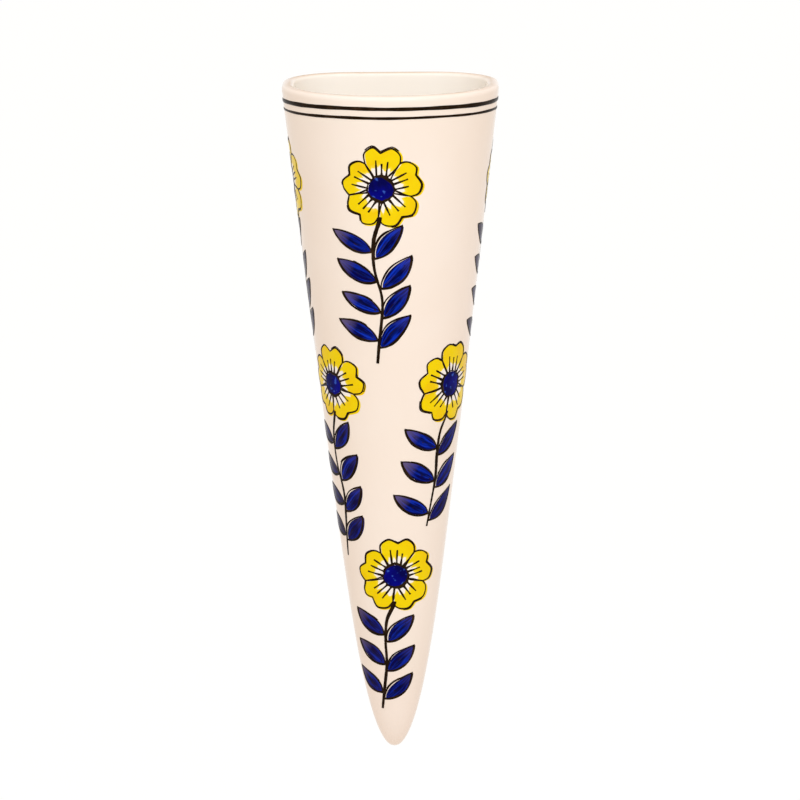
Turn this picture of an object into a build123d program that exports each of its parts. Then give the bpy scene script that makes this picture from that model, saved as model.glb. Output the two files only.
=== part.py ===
from build123d import *
from collections import namedtuple
from math import cos, exp, pi, radians, sin, sqrt, tan
import os

# A cone-shaped vase with a flat back that hangs on a wall from one screw, in millimetres.
# The wall is the plane y = 0, the vase stands out from it towards -Y, and Z is up.
# The origin is where the axis of the hanging screw meets the wall.

# Driving sizes of the vase
vase_height = 254.0
mouth_half_width = 39.0
wall_thickness = 4.0
lip_radius = 2.2
lip_slant_degrees = 1.7
hang_depth = 30.0
nose_set_back = 5.0
nose_set_back_height = 34.0
nose_flat_height = 0.15
cavity_floor_height = 13.0
floor_round_height = 9.0
back_trim = 0.1

# Driving sizes of the hanging slot in the back
slot_width = 5.0
slot_travel = 11.0
entry_diameter = 9.6
slot_top_clearance = 0.08

# Driving sizes of the wall screw
screw_diameter = 4.0
screw_length = 40.0
screw_root_diameter = 2.8
thread_pitch = 1.8
plain_shank_length = 7.0
screw_point_length = 4.0
head_diameter = 8.0
head_height = 3.1
head_rim_height = 0.7
head_clearance = 0.5
recess_span = 4.6
recess_slot_width = 1.0
recess_depth = 1.9
recess_taper_degrees = 12

# Driving sizes of the wall plug
plug_diameter = 6.0
plug_length = 30.0
plug_set_in = 3.0
plug_slit_width = 0.9
plug_mouth_length = 9.0
plug_groove_depth = 0.35
plug_groove_width = 0.8
plug_groove_spacing = 5.0
plug_groove_count = 3
thread_clearance = 0.06

# Driving sizes of the painted decoration
enamel_thickness = 0.2
upper_band_width = 1.25
upper_band_drop = 5.6
lower_band_width = 0.75
band_spacing = 3.2
flower_radius = 14.6
flower_centre_radius = 4.9
stroke_gap = 0.6
stem_width = 1.1
stem_start_drop = 12.4
stem_tail = 5.6
stem_bow = 3.3
first_leaf_drop = 24.0
leaf_spacing = 12.0
right_leaf_drop = 2.7
left_leaf_length = 16.0
left_leaf_width = 4.8
right_leaf_length = 15.2
right_leaf_width = 5.4
upper_row_height = 218.8
middle_row_height = 144.9
lower_row_height = 72.3

# One overrun serves every cut
cut_overrun = 1.0

# Shape of the taper and of the plan, as shares of the local half width
nose_share = 0.268
nose_reach_share = 0.111
corner_share = 0.62
side_share = 0.28
wide_share = corner_share + side_share
body_steps = 16
cavity_steps = 12
cavity_power_share = 1.3
floor_angles = (15, 40, 65, 90)

# A sprig: its turn from the front middle in half widths, its row and its pairs of leaves. Then its shares of
# the first leaf's drop, of the leaves' spacing, of the stem's tail and of its swing back to the right.
# Last, how far it leans to the left and how far its left leaves turn up, in degrees
Sprig = namedtuple("Sprig", "turn height pairs drop_share spacing_share tail_share swing_share lean lift")
sprig_shares = (
    Sprig(-1.56, upper_row_height, 4, 0.98, 0.92, 1, 1, 0, 0),
    Sprig(-0.097, upper_row_height, 4, 1, 0.93, 1, 1, 0, 0),
    Sprig(1.75, upper_row_height, 4, 0.97, 1, 1, 1, 0, 0),
    Sprig(-0.93, middle_row_height, 4, 0.97, 1, 1, 1, 0, 0),
    Sprig(0.91, middle_row_height, 3, 1.04, 1.06, 0.35, 0.35, 3.5, 0),
    Sprig(0.05, lower_row_height, 3, 1.04, 1.05, 0.75, 0.35, 2.5, 11),
)
petal_angles = (92, 24, -43, -131, 160)
left_leaf_angle = 154
right_leaf_angle = 49

# One half of a petal from its root to its notch: share of the flower's radius, and degrees off its axis
petal_half_shares = ((0.4, 29), (0.6, 31.5), (0.86, 29), (0.99, 17), (0.95, 6), (0.81, 0))

# The stem's line: share of its length, and of its bow to the left, which is widest at the place below
stem_bow_place_share = 0.24
stem_line_shares = (
    (0, 0.3),
    (0.12, 0.88),
    (0.24, 1),
    (0.36, 0.8),
    (0.5, 0.2),
    (0.6, 0.08),
    (0.72, 0.25),
    (0.86, 0.52),
    (1, 0.73),
)
stem_tip_width_share = 0.45

# How finely a slope of the glaze is measured, and how far a stroke reaches past it, as shares
probe_share = 0.1
reach_share = 0.33

# Places that follow from the sizes
lip_slope = tan(radians(lip_slant_degrees))
tip_z = hang_depth - vase_height
lip_drop_to_side = lip_slope * (wide_share * mouth_half_width - lip_radius)
rim_height = vase_height - lip_drop_to_side
lip_centre_height = rim_height - lip_radius
body_top_height = vase_height + lip_radius


def half_width(height):
    """Half the width of the vase at a height above its tip: a straight cone on a round nose."""
    rise_share = height / rim_height
    nose = sqrt(1 - exp(-rise_share / nose_reach_share))
    return mouth_half_width * (nose_share * nose + (1 - nose_share) * rise_share)


def back_y(height):
    """Where the back of the cone lies before it is cut flat. The nose curves away from the wall."""
    below = max(0, 1 - height / nose_set_back_height)
    return back_trim - nose_set_back * below**2


def plan_wire(height, inset=0, shrink=1):
    """The plan of the cone at a height: a round front, short straight sides, round corners, a flat back."""
    width = half_width(height)
    corner = corner_share * width
    front = (width - inset) * shrink
    turn = (corner - inset) * shrink
    flat = (width - corner) * shrink
    y_wide = back_y(height) - wide_share * width
    y_corner = y_wide + side_share * width * shrink
    y_flat = y_corner + turn
    slant = sin(pi / 4)
    edges = [
        ThreePointArc((0, y_wide - front), (front * slant, y_wide - front * slant), (front, y_wide)),
        Line((front, y_wide), (front, y_corner)),
        ThreePointArc((front, y_corner), (flat + turn * slant, y_corner + turn * slant), (flat, y_flat)),
        Line((flat, y_flat), (-flat, y_flat)),
        ThreePointArc((-flat, y_flat), (-flat - turn * slant, y_corner + turn * slant), (-front, y_corner)),
        Line((-front, y_corner), (-front, y_wide)),
        ThreePointArc((-front, y_wide), (-front * slant, y_wide - front * slant), (0, y_wide - front)),
    ]
    return Wire(edges)


def plan_face(height, inset=0, shrink=1):
    return Pos(0, 0, tip_z + height) * Face(plan_wire(height, inset, shrink))


def cone(inset=0):
    """The solid cone from the flat of its nose to above the lip."""
    climb = body_top_height - nose_flat_height
    heights = [nose_flat_height + climb * (step / body_steps) ** 2 for step in range(body_steps + 1)]
    return loft([plan_face(height, inset) for height in heights])


def cavity_floor():
    """The round bottom of the hollow."""
    faces = []
    for angle in floor_angles:
        height = cavity_floor_height + floor_round_height * (1 - cos(radians(angle)))
        faces.append(plan_face(height, wall_thickness, sin(radians(angle))))
    return loft(faces)


def cavity():
    """The hollow above its round bottom: the same taper as outside, out through the mouth."""
    first_height = cavity_floor_height + floor_round_height
    climb = body_top_height + cut_overrun - first_height
    shares = [(step / cavity_steps) ** cavity_power_share for step in range(cavity_steps + 1)]
    return loft([plan_face(first_height + climb * share, wall_thickness) for share in shares])


def above_lip_centre():
    """All the space above the slanting plane through the middle of the lip."""
    size = 2 * vase_height
    y_wide = -wide_share * mouth_half_width
    seat = Pos(0, y_wide, tip_z + lip_centre_height) * Rot(lip_slant_degrees, 0, 0)
    return seat * Pos(0, 0, size / 2) * Box(size, size, size)


def lip_ring():
    """The round lip, a soft bead a little thicker than the wall below it."""
    y_wide = -wide_share * mouth_half_width
    mean_height = lip_centre_height - lip_slope * mouth_half_width / 2
    flat_path = Pos(0, -y_wide, 0) * plan_wire(mean_height, wall_thickness / 2)
    path = Pos(0, y_wide, tip_z + lip_centre_height) * Rot(lip_slant_degrees, 0, 0) * flat_path
    start = Plane(origin=path @ 0, z_dir=path % 0)
    return sweep(start * Circle(lip_radius), path)


def behind_wall_plane():
    size = 2 * vase_height
    return Pos(0, size / 2, 0) * Box(size, size, 2 * size)


def hanging_slot():
    """The keyhole cut through the back: a round entry, and above it a slot that narrows to the shank."""
    slot_radius = slot_width / 2
    slot_top_z = screw_diameter / 2 + slot_top_clearance
    slot_centre_z = slot_top_z - slot_radius
    slot_height = slot_centre_z + slot_travel
    depth = 2 * wall_thickness + 2 * cut_overrun
    outline = Pos(0, slot_centre_z) * Circle(slot_radius)
    outline += Pos(0, slot_centre_z - slot_height / 2) * Rectangle(slot_width, slot_height)
    outline += Pos(0, -slot_travel) * Circle(entry_diameter / 2)
    return extrude(Plane.XZ * outline, depth / 2, both=True)


def vase_body(outer_cone):
    """The fired vase, one hollow piece."""
    shell = outer_cone - above_lip_centre() - cavity() - cavity_floor()
    shell = shell + lip_ring()
    return shell - behind_wall_plane() - hanging_slot()


def wall_screw():
    """A pan-head wood screw with a cross recess. Its head stays inside the vase."""
    under_head_y = -(wall_thickness + head_clearance)
    top_y = under_head_y - head_height
    shank = screw_diameter / 2
    root = screw_root_diameter / 2
    point_y = under_head_y + screw_length
    thread_end_y = point_y - screw_point_length
    turns = int((thread_end_y - under_head_y - plain_shank_length) / thread_pitch)
    thread_start_y = thread_end_y - turns * thread_pitch
    profile = [(shank, under_head_y), (shank, thread_start_y)]
    for turn in range(turns):
        y = thread_start_y + turn * thread_pitch
        profile += [(root, y + thread_pitch / 4), (root, y + thread_pitch / 2), (shank, y + thread_pitch)]
    profile += [(0, point_y), (0, under_head_y)]
    stem = revolve(make_face(Polyline(profile, close=True)), Axis.Y)
    rim_y = under_head_y - head_rim_height
    head_radius = head_diameter / 2
    half_crown = ThreePointArc((-head_radius, rim_y), (0, top_y), (head_radius, rim_y)).trim(0.5, 1)
    edge = Polyline((head_radius, rim_y), (head_radius, under_head_y), (0, under_head_y), (0, top_y))
    head = revolve(make_face(half_crown + edge), Axis.Y)
    cross = Rectangle(recess_span, recess_slot_width) + Rectangle(recess_slot_width, recess_span)
    seat = Plane(origin=(0, top_y, 0), x_dir=(1, 0, 0), z_dir=(0, 1, 0))
    recess = extrude(seat * cross, recess_depth, taper=recess_taper_degrees)
    return stem + head - recess


def wall_plug():
    """A slit nylon plug, pushed a little below the face of the wall."""
    radius = plug_diameter / 2
    bore = screw_diameter / 2 + thread_clearance
    mouth = Plane(origin=(0, plug_set_in, 0), x_dir=(1, 0, 0), z_dir=(0, 1, 0))
    plug = extrude(mouth * Circle(radius), plug_length)
    slit_length = plug_length - plug_mouth_length + cut_overrun
    slit_y = plug_set_in + plug_mouth_length + slit_length / 2
    plug -= Pos(0, slit_y, 0) * Box(plug_diameter + cut_overrun, slit_length, plug_slit_width)
    for groove in range(plug_groove_count):
        y = plug_set_in + plug_mouth_length + plug_groove_spacing * (groove + 1)
        ring = Circle(radius + cut_overrun) - Circle(radius - plug_groove_depth)
        plug -= extrude(mouth.offset(y - plug_set_in) * ring, plug_groove_width)
    return plug - extrude(mouth * Circle(bore), plug_length + cut_overrun)


def skin_point(turn, height):
    """A point of the glaze. The turn counts round from the front middle in half widths, up from the tip."""
    width = half_width(height)
    side = abs(turn)
    corner = corner_share * width
    y_wide = back_y(height) - wide_share * width
    y_corner = back_y(height) - corner
    if side <= pi / 2:
        x = width * sin(side)
        y = y_wide - width * cos(side)
    elif side <= pi / 2 + side_share:
        x = width
        y = y_wide + (side - pi / 2) * width
    else:
        angle = (side - pi / 2 - side_share) / corner_share
        x = width - corner + corner * cos(angle)
        y = y_corner + corner * sin(angle)
    if turn < 0:
        x = -x
    return Vector(x, y, tip_z + height)


def skin_plane(turn, height):
    """The plane that touches the glaze at a point, its x to the right and its y up the vase."""
    probe = probe_share * wall_thickness
    turn_probe = probe / half_width(height)
    right = skin_point(turn + turn_probe, height) - skin_point(turn - turn_probe, height)
    up = skin_point(turn, height + probe) - skin_point(turn, height - probe)
    return Plane(origin=skin_point(turn, height), x_dir=right, z_dir=right.cross(up))


def place_on_skin(turn, height, right, up):
    """The turn and height of a place that lies so far to the right of and above another, on the glaze."""
    probe = probe_share * wall_thickness
    rise = skin_point(turn, height + up / 2 + probe) - skin_point(turn, height + up / 2 - probe)
    new_height = height + up * 2 * probe / rise.length
    return turn + right / half_width(new_height), new_height


def lay_on_skin(outlines, plane, skin):
    """Strokes of enamel: flat outlines in a plane that touches the glaze, carried straight down onto it."""
    reach = reach_share * flower_radius
    prisms = [extrude(plane * outline, reach, both=True) for outline in outlines]
    return (Compound(prisms) & skin).solids()


def sprig_point(plane, turn, height, right, up):
    """A point of a sprig, given along the glaze from its flower's middle, in a plane that touches it."""
    point = plane.to_local_coords(skin_point(*place_on_skin(turn, height, right, up)))
    return point.X, point.Y


def turned(along, aside, angle):
    """A point given along and aside of a direction, as right and up."""
    right = along * cos(radians(angle)) - aside * sin(radians(angle))
    up = along * sin(radians(angle)) + aside * cos(radians(angle))
    return right, up


def leaned(right, up, sprig):
    """A point of a sprig once its stem leans to the left about its start."""
    right, up = turned(right, up + stem_start_drop, -sprig.lean)
    return right, up - stem_start_drop


def petal_outline(plane, turn, height, angle):
    """A heart with its point towards the flower's centre and its notch outwards."""
    sides = []
    for side in (1, -1):
        points = []
        for radius_share, spread in petal_half_shares:
            right, up = turned(radius_share * flower_radius, 0, angle + side * spread)
            points.append(sprig_point(plane, turn, height, right, up))
        sides.append(points)
    return make_face(Spline(sides[0]) + Spline(sides[1]) + Line(sides[0][0], sides[1][0]))


def leaf_outline(plane, turn, height, base, length, width, angle):
    """A pointed almond from its base to its tip."""
    points = []
    for along, aside in ((0, 0), (length / 2, width / 2), (length, 0), (length / 2, -width / 2)):
        right, up = turned(along, aside, angle)
        points.append(sprig_point(plane, turn, height, base[0] + right, base[1] + up))
    first, left, tip, right_side = points
    return make_face(ThreePointArc(first, left, tip) + ThreePointArc(tip, right_side, first))


def leaf_drop(sprig, pair):
    """How far below the flower's middle a left leaf of a sprig leaves the stem."""
    return first_leaf_drop * sprig.drop_share + leaf_spacing * sprig.spacing_share * pair


def stem_end_drop(sprig):
    return leaf_drop(sprig, sprig.pairs - 1) + right_leaf_drop + stem_tail * sprig.tail_share


def stem_line(sprig):
    """The line of one sprig's stem, which swings back to the right by its own share."""
    line = []
    for along_share, bow_share in stem_line_shares:
        if along_share > stem_bow_place_share:
            bow_share = 1 - (1 - bow_share) * sprig.swing_share
        line.append((along_share, bow_share))
    return line


def stem_bow_at(drop, sprig):
    """How far the stem stands to the left of the flower's middle at a drop below it, before it leans."""
    share = (drop - stem_start_drop) / (stem_end_drop(sprig) - stem_start_drop)
    line = stem_line(sprig)
    bow_share = line[-1][1]
    for (low, low_bow), (high, high_bow) in zip(line, line[1:]):
        if low <= share <= high:
            bow_share = low_bow + (high_bow - low_bow) * (share - low) / (high - low)
    return stem_bow * bow_share


def stem_outline(plane, sprig):
    """The stem as one tapering brush line."""
    length = stem_end_drop(sprig) - stem_start_drop
    left = []
    right = []
    for along_share, bow_share in stem_line(sprig):
        half = stem_width / 2 * (1 - (1 - stem_tip_width_share) * along_share)
        middle = -stem_bow * bow_share
        up = -stem_start_drop - length * along_share
        for edge, points in ((middle - half, left), (middle + half, right)):
            points.append(sprig_point(plane, sprig.turn, sprig.height, *leaned(edge, up, sprig)))
    return make_face(Spline(left) + Spline(right) + Line(left[0], right[0]) + Line(left[-1], right[-1]))


def paint_flower(turn, height, skin):
    """The five petals of a flower, and its round centre."""
    plane = skin_plane(turn, height)
    outlines = [petal_outline(plane, turn, height, angle) for angle in petal_angles]
    petals = lay_on_skin(outlines, plane, skin)
    centre = lay_on_skin([Circle(flower_centre_radius)], plane, skin)
    return petals, centre


def paint_stem(sprig, skin):
    middle = (stem_start_drop + stem_end_drop(sprig)) / 2
    plane = skin_plane(*place_on_skin(sprig.turn, sprig.height, *leaned(0, -middle, sprig)))
    return lay_on_skin([stem_outline(plane, sprig)], plane, skin)


def paint_leaves(sprig, left, skin):
    """The leaves on one side of a stem."""
    length = left_leaf_length if left else right_leaf_length
    width = left_leaf_width if left else right_leaf_width
    angle = left_leaf_angle - sprig.lift if left else right_leaf_angle
    extra_drop = 0 if left else right_leaf_drop
    middle = extra_drop + (leaf_drop(sprig, 0) + leaf_drop(sprig, sprig.pairs - 1)) / 2
    middle_right, middle_up = turned(length / 2, 0, angle)
    middle_place = leaned(middle_right, middle_up - middle, sprig)
    plane = skin_plane(*place_on_skin(sprig.turn, sprig.height, *middle_place))
    outlines = []
    for pair in range(sprig.pairs):
        drop = extra_drop + leaf_drop(sprig, pair)
        right, up = turned(stem_width / 2 + stroke_gap, 0, angle)
        base = leaned(right - stem_bow_at(drop, sprig), up - drop, sprig)
        leaf = leaf_outline(plane, sprig.turn, sprig.height, base, length, width, angle - sprig.lean)
        outlines.append(leaf)
    return lay_on_skin(outlines, plane, skin)


def band(skin, drop, width):
    """A painted line round the vase, a drop below the lip at the sides. It stops at the flat back."""
    size = 2 * vase_height
    centre_z = tip_z + rim_height - drop
    return skin & Pos(0, 0, centre_z) * Box(size, size, width)


def write(name, shape):
    export_step(shape, os.path.join("parts", name + ".step"))
    print(name, len(shape.solids()), "solids", round(shape.volume, 1), "mm3")


def main():
    os.makedirs("parts", exist_ok=True)
    outer_cone = cone()
    write("vase_body", vase_body(outer_cone))
    write("wall_screw", wall_screw())
    write("wall_plug", wall_plug())
    skin = cone(-enamel_thickness) - outer_cone - behind_wall_plane()
    write("upper_band", band(skin, upper_band_drop, upper_band_width))
    write("lower_band", band(skin, upper_band_drop + band_spacing, lower_band_width))
    groups = {"petals": [], "flower_centres": [], "stems": [], "leaves": []}
    for sprig in sprig_shares:
        petals, centre = paint_flower(sprig.turn, sprig.height, skin)
        groups["petals"] += petals
        groups["flower_centres"] += centre
        groups["stems"] += paint_stem(sprig, skin)
        groups["leaves"] += paint_leaves(sprig, True, skin)
        groups["leaves"] += paint_leaves(sprig, False, skin)
    for name, solids in groups.items():
        write(name, Compound(solids))


main()
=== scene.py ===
# %% [markdown]
# # A painted vase for the wall
# The real vase is one piece of slip-cast pottery: a hollow cone with a round front, a flat back that lies
# on the wall, a round lip and a round nose. It is glazed cream and painted by hand with a brush. Everything
# here is in metres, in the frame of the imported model, so no piece has to be fitted afterwards.

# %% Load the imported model
import math
import random

import bmesh
import bpy
from mathutils import Matrix, Vector


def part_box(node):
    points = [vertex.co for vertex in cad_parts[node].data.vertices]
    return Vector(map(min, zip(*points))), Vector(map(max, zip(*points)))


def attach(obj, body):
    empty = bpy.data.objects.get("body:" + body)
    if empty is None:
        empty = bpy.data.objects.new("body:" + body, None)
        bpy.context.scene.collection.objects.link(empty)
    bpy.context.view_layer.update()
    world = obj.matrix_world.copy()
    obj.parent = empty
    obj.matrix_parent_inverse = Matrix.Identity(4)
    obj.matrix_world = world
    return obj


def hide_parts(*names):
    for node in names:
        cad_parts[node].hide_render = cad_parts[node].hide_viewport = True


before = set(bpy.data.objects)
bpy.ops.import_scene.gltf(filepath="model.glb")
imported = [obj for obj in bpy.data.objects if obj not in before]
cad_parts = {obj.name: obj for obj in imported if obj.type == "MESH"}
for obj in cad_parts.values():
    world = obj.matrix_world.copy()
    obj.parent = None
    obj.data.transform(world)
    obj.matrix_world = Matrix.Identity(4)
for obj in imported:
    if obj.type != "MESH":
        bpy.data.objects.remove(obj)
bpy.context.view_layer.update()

MM = 0.001
print("nodes:", sorted(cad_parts))

# %% [markdown]
# ## The shape of the pot as a formula
# The pot and the paint must share one surface, or the paint would sink in or float. A painter's eye follows
# the surface round and up, so the formula does the same: `turn` goes round from the middle of the front,
# measured in half widths, and `height` goes up from the tip. The plan has a round front, short straight
# sides, round corners and a flat back, and every plan is the same shape, scaled about the wall.

# %% Sizes of the pot and shares of its plan
body_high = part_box("vase_body")[1]
VASE_HEIGHT = 254.0 * MM
TIP_Z = body_high.z - VASE_HEIGHT
MOUTH_HALF_WIDTH = 39.0 * MM
WALL = 4.0 * MM
LIP_THICKNESS = 4.4 * MM
LIP_SLOPE = math.tan(math.radians(1.7))
NOSE_SHARE = 0.268
NOSE_REACH_SHARE = 0.111
CORNER_SHARE = 0.62
SIDE_SHARE = 0.28
WIDE_SHARE = CORNER_SHARE + SIDE_SHARE
NOSE_SET_BACK = 5.0 * MM
NOSE_SET_BACK_HEIGHT = 34.0 * MM
TURN_SIDE = math.pi / 2
TURN_CORNER = TURN_SIDE + SIDE_SHARE
TURN_FLAT = TURN_CORNER + CORNER_SHARE * math.pi / 2
TURN_BACK = TURN_FLAT + 1 - CORNER_SHARE
RIM_HEIGHT = VASE_HEIGHT - LIP_SLOPE * (WIDE_SHARE * MOUTH_HALF_WIDTH - LIP_THICKNESS / 2)


# %% The formula
def half_width(height):
    rise = max(height, 0) / RIM_HEIGHT
    nose = math.sqrt(1 - math.exp(-rise / NOSE_REACH_SHARE))
    return MOUTH_HALF_WIDTH * (NOSE_SHARE * nose + (1 - NOSE_SHARE) * rise)


def back_y(height):
    below = max(0, 1 - height / NOSE_SET_BACK_HEIGHT)
    return -NOSE_SET_BACK * below ** 2


def pot_point(turn, height, inset=0.0):
    """A point of the pot's outside, or one that lies `inset` inside it."""
    width = half_width(height)
    corner = CORNER_SHARE * width
    side = abs(turn)
    y_wide = back_y(height) - WIDE_SHARE * width
    y_corner = back_y(height) - corner
    if side <= TURN_SIDE:
        x = (width - inset) * math.sin(side)
        y = y_wide - (width - inset) * math.cos(side)
    elif side <= TURN_CORNER:
        x = width - inset
        y = y_wide + (side - TURN_SIDE) * width
    elif side <= TURN_FLAT:
        angle = (side - TURN_CORNER) / CORNER_SHARE
        bend = max(corner - inset, 0)
        x = width - inset - bend * (1 - math.cos(angle))
        y = y_corner + bend * math.sin(angle)
    else:
        x = (TURN_BACK - side) * width
        y = back_y(height) - inset
    return Vector((math.copysign(x, turn) if turn else x, y, TIP_Z + height))


print("half the lip's width in mm, by the formula:", round(half_width(RIM_HEIGHT) / MM, 2))
print("and in the packed model:", round(body_high.x / MM, 2))

# %% [markdown]
# ## Small helpers for modelling
# An operator acts on whatever is selected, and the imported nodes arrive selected, so each step starts by
# deselecting everything. A finished piece keeps its object at the origin, with its place in its mesh.

# %% Helpers
def clear_selection():
    bpy.ops.object.select_all(action="DESELECT")


def select_only(*pieces):
    clear_selection()
    for piece in pieces:
        piece.select_set(True)
    bpy.context.view_layer.objects.active = pieces[0]


def apply_modifiers(piece):
    select_only(piece)
    for modifier in list(piece.modifiers):
        bpy.ops.object.modifier_apply(modifier=modifier.name)


def settle(piece):
    """Puts the place of a piece into its mesh."""
    select_only(piece)
    bpy.ops.object.transform_apply(location=True, rotation=True, scale=True)


def rename(piece, name):
    piece.name = name
    piece.data.name = name


def join(pieces, name):
    select_only(*pieces)
    bpy.ops.object.join()
    rename(pieces[0], name)
    return pieces[0]


def add_object(name, data):
    piece = bpy.data.objects.new(name, data)
    bpy.context.scene.collection.objects.link(piece)
    return piece


# %% [markdown]
# ## The pot
# On the real vase the potter pours slip into a mould, so the wall is even and the lip is rounded by a damp
# sponge. It could be a lathe shape, but its plan isn't round. So a circle starts the nose and is extruded
# ring by ring: up the outside, over the lip in a half round, and down the inside to a round floor. Each
# vertex remembers its `turn`, and each new ring is set on the formula.

# %% Plan the rings
OUTSIDE_RINGS = 56
OUTSIDE_CROWDING = 1.7
LIP_RINGS = 20
INSIDE_RINGS = 30
INSIDE_CROWDING = 1.3
FLOOR_RINGS = 8
FLOOR_HEIGHT = 13.0 * MM
FLOOR_ROUND = 9.0 * MM
SLANT_START = 14.0 * MM
LIP_CREST_INSET = 2.6 * MM
LIP_OUTER_DROP = 2.2 * MM
LIP_INNER_DROP = 1.5 * MM
LIP_SQUARENESS = 2.3
LIP_SWELL_DEPTH = 9.0 * MM
CREST_ANGLE = 98
CREST_REACH = 50


def squarish(share):
    """Turns a sine or cosine into that of a squarish oval."""
    return math.copysign(abs(share) ** (2 / LIP_SQUARENESS), share)


def lip_section(angle):
    """The lip's edge in section, as height and inset: a wide soft curve outside, a tighter one inside."""
    across = squarish(math.cos(math.radians(angle)))
    drop = LIP_OUTER_DROP if angle < 90 else LIP_INNER_DROP
    reach = LIP_CREST_INSET if angle < 90 else LIP_THICKNESS - LIP_CREST_INSET
    height = RIM_HEIGHT - drop * (1 - squarish(math.sin(math.radians(angle))))
    return height, LIP_CREST_INSET - reach * across


def ring_list():
    """Every ring of the pot as (height, inset, shrink, slant, crest, inside), from the nose to the floor."""
    rings = []
    outside_top = RIM_HEIGHT - LIP_OUTER_DROP
    for ring in range(1, OUTSIDE_RINGS):
        height = outside_top * (ring / OUTSIDE_RINGS) ** OUTSIDE_CROWDING
        slant = max(0, 1 - (outside_top - height) / SLANT_START)
        rings.append((height, 0, 1, slant, 0, 0))
    for ring in range(LIP_RINGS + 1):
        angle = 180 * ring / LIP_RINGS
        crest = max(0, 1 - abs(angle - CREST_ANGLE) / CREST_REACH)
        rings.append((*lip_section(angle), 1, 1, crest, max(0, angle / 90 - 1)))
    inside_top = RIM_HEIGHT - LIP_INNER_DROP
    floor_top = FLOOR_HEIGHT + FLOOR_ROUND
    for ring in range(1, INSIDE_RINGS + 1):
        drop = (inside_top - floor_top) * (ring / INSIDE_RINGS) ** INSIDE_CROWDING
        slant = max(0, 1 - drop / SLANT_START)
        swell = (LIP_THICKNESS - WALL) * max(0, 1 - drop / LIP_SWELL_DEPTH) ** 2
        rings.append((inside_top - drop, WALL + swell, 1, slant, 0, 1))
    for ring in range(1, FLOOR_RINGS):
        angle = math.pi / 2 * ring / FLOOR_RINGS
        rings.append((floor_top - FLOOR_ROUND * math.sin(angle), WALL, math.cos(angle), 0, 0, 1))
    return rings


rings = ring_list()
print("rings:", len(rings))

# %% Start the nose and set a ring
RING_POINTS = 144


def slanted(height, turn, slant):
    """The height of a ring's point when the ring tips: the front of the lip is lower than its back."""
    y = pot_point(turn, height).y
    return height + slant * LIP_SLOPE * (y + WIDE_SHARE * half_width(height))


def set_ring(pot, ring):
    """Sets the selected ring on the formula."""
    height, inset, shrink, slant, crest, inside = ring
    bm = bmesh.from_edit_mesh(pot.data)
    layers = bm.verts.layers.float
    middle_y = back_y(height) - WIDE_SHARE * half_width(height)
    for vertex in bm.verts:
        if vertex.select:
            turn = vertex[layers["turn"]]
            point = pot_point(turn, slanted(height, turn, slant), inset)
            y = middle_y + (point.y - middle_y) * shrink
            vertex.co = (point.x * shrink, min(y, -inset), point.z)
            vertex[layers["crest"]] = crest
            vertex[layers["inside"]] = inside
    bmesh.update_edit_mesh(pot.data)


def start_pot():
    """Adds the first circle, in edit mode, and writes its `turn` on each vertex."""
    clear_selection()
    bpy.ops.mesh.primitive_circle_add(vertices=RING_POINTS, radius=MM, fill_type="NOTHING")
    pot = bpy.context.object
    rename(pot, "glazed_pot")
    bpy.ops.object.mode_set(mode="EDIT")
    bm = bmesh.from_edit_mesh(pot.data)
    for name in ("turn", "crest", "inside"):
        bm.verts.layers.float.new(name)
    turn_layer = bm.verts.layers.float["turn"]
    for vertex in bm.verts:
        vertex[turn_layer] = math.atan2(vertex.co.x, -vertex.co.y) / math.pi * TURN_BACK
    bmesh.update_edit_mesh(pot.data)
    return pot


def close_tip(pot):
    """Fans the ring out from one point at the tip, and leaves only the ring selected."""
    bpy.ops.mesh.edge_face_add()
    bpy.ops.mesh.poke()
    bpy.ops.mesh.select_all(action="DESELECT")
    bpy.ops.mesh.select_mode(type="VERT")
    bm = bmesh.from_edit_mesh(pot.data)
    for vertex in bm.verts:
        is_tip = len(vertex.link_edges) > 4
        if is_tip:
            vertex.co = (0, back_y(0), TIP_Z)
        vertex.select = not is_tip
    bm.select_flush_mode()
    bmesh.update_edit_mesh(pot.data)


# %% Model the pot
pot = start_pot()
set_ring(pot, rings[0])
close_tip(pot)
for ring in rings[1:]:
    bpy.ops.mesh.extrude_edges_move()
    set_ring(pot, ring)
bpy.ops.mesh.edge_face_add()
bpy.ops.mesh.poke()
bpy.ops.mesh.select_all(action="SELECT")
bpy.ops.mesh.normals_make_consistent(inside=False)
bpy.ops.object.mode_set(mode="OBJECT")
print("pot:", len(pot.data.vertices), "points")

# %% [markdown]
# ## The keyhole
# The vase hangs from one screw: its head goes in through a round hole, and the shank then rides up a narrow
# slot. The potter cuts this in the soft clay with a punch and a knife. Here two cylinders and a block become
# one cutter, and one Boolean takes it out of the flat back, so no thin skin is left between them.

# %% Cut the keyhole
SLOT_WIDTH = 5.0 * MM
SLOT_TRAVEL = 11.0 * MM
SLOT_PLAY = 0.08 * MM
ENTRY_DIAMETER = 9.6 * MM
SHANK_RADIUS = 2.0 * MM
CUT_DEPTH = 3 * WALL
CUTTER_POINTS = 48
BLOCK_SHARE = 0.9999


def round_cutter(radius, z):
    clear_selection()
    place = {"location": (0, 0, z), "rotation": (math.pi / 2, 0, 0)}
    bpy.ops.mesh.primitive_cylinder_add(vertices=CUTTER_POINTS, radius=radius, depth=CUT_DEPTH, **place)
    cutter = bpy.context.object
    settle(cutter)
    return cutter


def block_cutter(width, low_z, high_z):
    clear_selection()
    bpy.ops.mesh.primitive_cube_add(size=1, location=(0, 0, (low_z + high_z) / 2))
    cutter = bpy.context.object
    cutter.scale = (width, CUT_DEPTH, high_z - low_z)
    settle(cutter)
    return cutter


def cut(piece, cutter, operation="DIFFERENCE"):
    modifier = piece.modifiers.new("cut", "BOOLEAN")
    modifier.operation = operation
    modifier.solver = "EXACT"
    modifier.object = cutter
    apply_modifiers(piece)
    bpy.data.objects.remove(cutter)


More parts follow.
